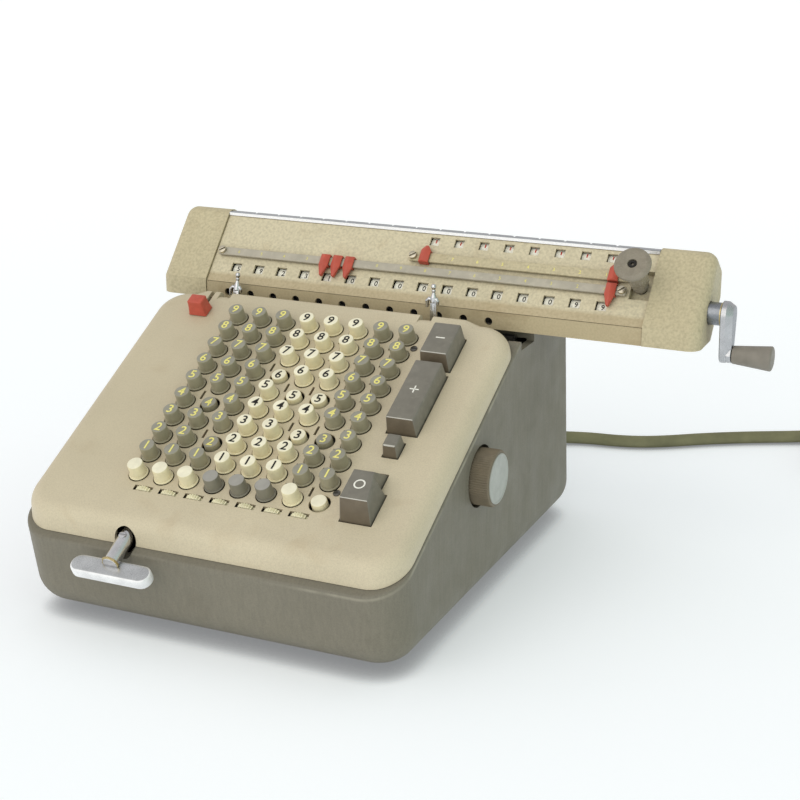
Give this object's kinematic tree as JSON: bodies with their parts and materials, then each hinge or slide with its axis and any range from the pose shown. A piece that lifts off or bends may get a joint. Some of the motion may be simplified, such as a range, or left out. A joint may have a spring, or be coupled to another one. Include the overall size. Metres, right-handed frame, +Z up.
{
  "type": "desk calculator",
  "caption": "Full-keyboard electric desk calculator with a sliding dial carriage, latching digit keys, a clearing crank, a shift handle and a coiled mains lead.",
  "frame": {"origin": "on the table, under the middle of the housing", "axes": "+X to the operator's right along the carriage, +Y away from the operator, +Z up"},
  "size_m": [0.561, 0.6156, 0.213],
  "materials": {
    "base_paint": "satin olive-grey enamel",
    "cover_paint": "satin beige enamel",
    "carriage_paint": "crinkled beige enamel",
    "bright_metal": "worn bright plating",
    "plain_steel": "plain machined steel",
    "key_plastic": "moulded plastic",
    "function_key_plastic": "moulded grey plastic, worn",
    "ivory_plastic": "moulded ivory plastic",
    "red_plastic": "moulded red plastic",
    "knob_plastic": "moulded brown-grey plastic",
    "foot_rubber": "black rubber",
    "cord_rubber": "khaki rubber sheath",
    "plug_plastic": "dark moulded plastic"
  },
  "bodies": {
    "chassis": {"base_housing": "base_paint", "bottom_plate": "plain_steel", "rubber_feet": "foot_rubber", "housing_screws": "plain_steel", "top_cover": "cover_paint", "inner_frame": "plain_steel", "key_guide_plate": "plain_steel", "carriage_guides": "plain_steel", "motor": "plain_steel", "cord_gland": "cord_rubber", "power_cord": "cord_rubber", "cord_coil": "cord_rubber", "coil_tie": "plug_plastic", "power_plug": "plug_plastic"},
    "rotor": {"drive_rotor": "plain_steel"},
    "keys_row_1": {"keys_row_1": "key_plastic"},
    "keys_row_2": {"keys_row_2": "key_plastic"},
    "keys_row_3": {"keys_row_3": "key_plastic"},
    "keys_row_4": {"keys_row_4": "key_plastic"},
    "keys_row_5": {"keys_row_5": "key_plastic"},
    "keys_row_6": {"keys_row_6": "key_plastic"},
    "keys_row_7": {"keys_row_7": "key_plastic"},
    "keys_row_8": {"keys_row_8": "key_plastic"},
    "keys_row_9": {"keys_row_9": "key_plastic"},
    "clear_keys": {"clear_keys": "key_plastic"},
    "latched_keys": {"latched_keys": "key_plastic"},
    "plus_key": {"plus_key": "function_key_plastic"},
    "minus_key": {"minus_key": "function_key_plastic"},
    "zero_key": {"zero_key": "function_key_plastic"},
    "small_key": {"small_key": "function_key_plastic"},
    "decimal_wheel_1": {"decimal_wheel_1": "ivory_plastic"},
    "decimal_wheel_2": {"decimal_wheel_2": "ivory_plastic"},
    "decimal_wheel_3": {"decimal_wheel_3": "ivory_plastic"},
    "decimal_wheel_4": {"decimal_wheel_4": "ivory_plastic"},
    "decimal_wheel_5": {"decimal_wheel_5": "ivory_plastic"},
    "decimal_wheel_6": {"decimal_wheel_6": "ivory_plastic"},
    "decimal_wheel_7": {"decimal_wheel_7": "ivory_plastic"},
    "shift_handle": {"handle_shaft": "bright_metal", "handle_bar": "bright_metal"},
    "side_knob": {"side_knob": "knob_plastic"},
    "red_slider": {"red_slider": "red_plastic"},
    "left_lever": {"left_lever": "bright_metal"},
    "right_lever": {"right_lever": "bright_metal"},
    "carriage": {"carriage_frame": "plain_steel", "left_end_cap": "carriage_paint", "right_end_cap": "carriage_paint", "carriage_face": "carriage_paint", "carriage_apron": "carriage_paint", "top_bar": "bright_metal", "lower_rail": "bright_metal", "upper_rail": "bright_metal"},
    "result_dials": {"result_dials": "ivory_plastic"},
    "counter_dials": {"counter_dials": "ivory_plastic"},
    "release_knob": {"release_knob": "knob_plastic"},
    "clearing_crank": {"crank_arm": "bright_metal"},
    "crank_grip": {"crank_grip": "knob_plastic"},
    "lower_markers": {"lower_markers": "red_plastic"},
    "lower_right_marker": {"lower_right_marker": "red_plastic"},
    "upper_left_marker": {"upper_left_marker": "red_plastic"},
    "upper_right_marker": {"upper_right_marker": "red_plastic"}
  },
  "joints": [
    {"name": "rotor_spin", "type": "hinge", "parent": "chassis", "child": "rotor", "pos_m": [0, 0.075, 0.072], "axis": [1, 0, 0], "continuous": true},
    {"name": "press_row_1", "type": "slide", "parent": "chassis", "child": "keys_row_1", "axis": [0, 0.4633, -0.8862], "range_m": [0, 0.0062], "stiffness_N_per_m": 400, "springref_m": -0.004},
    {"name": "press_row_2", "type": "slide", "parent": "chassis", "child": "keys_row_2", "axis": [0, 0.4633, -0.8862], "range_m": [0, 0.0062], "stiffness_N_per_m": 400, "springref_m": -0.004},
    {"name": "press_row_3", "type": "slide", "parent": "chassis", "child": "keys_row_3", "axis": [0, 0.4633, -0.8862], "range_m": [0, 0.0062], "stiffness_N_per_m": 400, "springref_m": -0.004},
    {"name": "press_row_4", "type": "slide", "parent": "chassis", "child": "keys_row_4", "axis": [0, 0.4633, -0.8862], "range_m": [0, 0.0062], "stiffness_N_per_m": 400, "springref_m": -0.004},
    {"name": "press_row_5", "type": "slide", "parent": "chassis", "child": "keys_row_5", "axis": [0, 0.4633, -0.8862], "range_m": [0, 0.0062], "stiffness_N_per_m": 400, "springref_m": -0.004},
    {"name": "press_row_6", "type": "slide", "parent": "chassis", "child": "keys_row_6", "axis": [0, 0.4633, -0.8862], "range_m": [0, 0.0062], "stiffness_N_per_m": 400, "springref_m": -0.004},
    {"name": "press_row_7", "type": "slide", "parent": "chassis", "child": "keys_row_7", "axis": [0, 0.4633, -0.8862], "range_m": [0, 0.0062], "stiffness_N_per_m": 400, "springref_m": -0.004},
    {"name": "press_row_8", "type": "slide", "parent": "chassis", "child": "keys_row_8", "axis": [0, 0.4633, -0.8862], "range_m": [0, 0.0062], "stiffness_N_per_m": 400, "springref_m": -0.004},
    {"name": "press_row_9", "type": "slide", "parent": "chassis", "child": "keys_row_9", "axis": [0, 0.4633, -0.8862], "range_m": [0, 0.0062], "stiffness_N_per_m": 400, "springref_m": -0.004},
    {"name": "press_clear", "type": "slide", "parent": "chassis", "child": "clear_keys", "axis": [0, 0.4633, -0.8862], "range_m": [0, 0.0062], "stiffness_N_per_m": 400, "springref_m": -0.004},
    {"name": "latched_keys_release", "type": "slide", "parent": "chassis", "child": "latched_keys", "axis": [0, -0.4633, 0.8862], "range_m": [0, 0.0062]},
    {"name": "press_plus_key", "type": "slide", "parent": "chassis", "child": "plus_key", "axis": [0, 0.4633, -0.8862], "range_m": [0, 0.0045], "stiffness_N_per_m": 600, "springref_m": -0.003},
    {"name": "press_minus_key", "type": "slide", "parent": "chassis", "child": "minus_key", "axis": [0, 0.4633, -0.8862], "range_m": [0, 0.0045], "stiffness_N_per_m": 600, "springref_m": -0.003},
    {"name": "press_zero_key", "type": "slide", "parent": "chassis", "child": "zero_key", "axis": [0, 0.4633, -0.8862], "range_m": [0, 0.0045], "stiffness_N_per_m": 600, "springref_m": -0.003},
    {"name": "press_small_key", "type": "slide", "parent": "chassis", "child": "small_key", "axis": [0, 0.4633, -0.8862], "range_m": [0, 0.0045], "stiffness_N_per_m": 600, "springref_m": -0.003},
    {"name": "turn_decimal_1", "type": "hinge", "parent": "chassis", "child": "decimal_wheel_1", "pos_m": [-0.0495, -0.12094, 0.07962], "axis": [0, 0.8862, 0.4633], "continuous": true},
    {"name": "turn_decimal_2", "type": "hinge", "parent": "chassis", "child": "decimal_wheel_2", "pos_m": [-0.0325, -0.12094, 0.07962], "axis": [0, 0.8862, 0.4633], "continuous": true},
    {"name": "turn_decimal_3", "type": "hinge", "parent": "chassis", "child": "decimal_wheel_3", "pos_m": [-0.0155, -0.12094, 0.07962], "axis": [0, 0.8862, 0.4633], "continuous": true},
    {"name": "turn_decimal_4", "type": "hinge", "parent": "chassis", "child": "decimal_wheel_4", "pos_m": [0.0015, -0.12094, 0.07962], "axis": [0, 0.8862, 0.4633], "continuous": true},
    {"name": "turn_decimal_5", "type": "hinge", "parent": "chassis", "child": "decimal_wheel_5", "pos_m": [0.0185, -0.12094, 0.07962], "axis": [0, 0.8862, 0.4633], "continuous": true},
    {"name": "turn_decimal_6", "type": "hinge", "parent": "chassis", "child": "decimal_wheel_6", "pos_m": [0.0355, -0.12094, 0.07962], "axis": [0, 0.8862, 0.4633], "continuous": true},
    {"name": "turn_decimal_7", "type": "hinge", "parent": "chassis", "child": "decimal_wheel_7", "pos_m": [0.0525, -0.12094, 0.07962], "axis": [0, 0.8862, 0.4633], "continuous": true},
    {"name": "shift_handle_turn", "type": "hinge", "parent": "chassis", "child": "shift_handle", "pos_m": [-0.0483, -0.1459, 0.0607], "axis": [0, -0.8862, -0.4633], "range_deg": [-25, 25], "stiffness_Nm_per_rad": 0.3},
    {"name": "side_knob_turn", "type": "hinge", "parent": "chassis", "child": "side_knob", "pos_m": [0.1245, -0.0295, 0.08647], "axis": [1, 0, 0], "continuous": true},
    {"name": "red_slider_move", "type": "slide", "parent": "chassis", "child": "red_slider", "axis": [0, 0.8862, 0.4633], "range_m": [0, 0.013]},
    {"name": "left_lever_swing", "type": "hinge", "parent": "chassis", "child": "left_lever", "pos_m": [-0.0782, 0.0395, 0.15], "axis": [1, 0, 0], "range_deg": [0, 18]},
    {"name": "right_lever_swing", "type": "hinge", "parent": "chassis", "child": "right_lever", "pos_m": [0.0646, 0.0395, 0.15], "axis": [1, 0, 0], "range_deg": [-18, 0]},
    {"name": "carriage_slide", "type": "slide", "parent": "chassis", "child": "carriage", "axis": [1, 0, 0], "range_m": [-0.102, 0.017]},
    {"name": "result_dials_turn", "type": "hinge", "parent": "carriage", "child": "result_dials", "pos_m": [0.045, 0.06619, 0.16631], "axis": [1, 0, 0], "continuous": true},
    {"name": "counter_dials_turn", "type": "hinge", "parent": "carriage", "child": "counter_dials", "pos_m": [0.045, 0.08839, 0.1914], "axis": [1, 0, 0], "continuous": true},
    {"name": "release_knob_press", "type": "slide", "parent": "carriage", "child": "release_knob", "axis": [0, 0.749, -0.6626], "range_m": [0, 0.0038], "stiffness_N_per_m": 900, "springref_m": -0.003},
    {"name": "clearing_crank_turn", "type": "hinge", "parent": "carriage", "child": "clearing_crank", "pos_m": [0.2315, 0.0728, 0.1728], "axis": [1, 0, 0], "continuous": true},
    {"name": "crank_grip_spin", "type": "hinge", "parent": "clearing_crank", "child": "crank_grip", "pos_m": [0.258, 0.0728, 0.1485], "axis": [1, 0, 0], "continuous": true},
    {"name": "lower_markers_move", "type": "slide", "parent": "carriage", "child": "lower_markers", "axis": [1, 0, 0], "range_m": [-0.07, 0.15]},
    {"name": "lower_right_marker_move", "type": "slide", "parent": "carriage", "child": "lower_right_marker", "axis": [1, 0, 0], "range_m": [-0.15, 0]},
    {"name": "upper_left_marker_move", "type": "slide", "parent": "carriage", "child": "upper_left_marker", "axis": [1, 0, 0], "range_m": [0, 0.11]},
    {"name": "upper_right_marker_move", "type": "slide", "parent": "carriage", "child": "upper_right_marker", "axis": [1, 0, 0], "range_m": [-0.11, 0]}
  ]
}
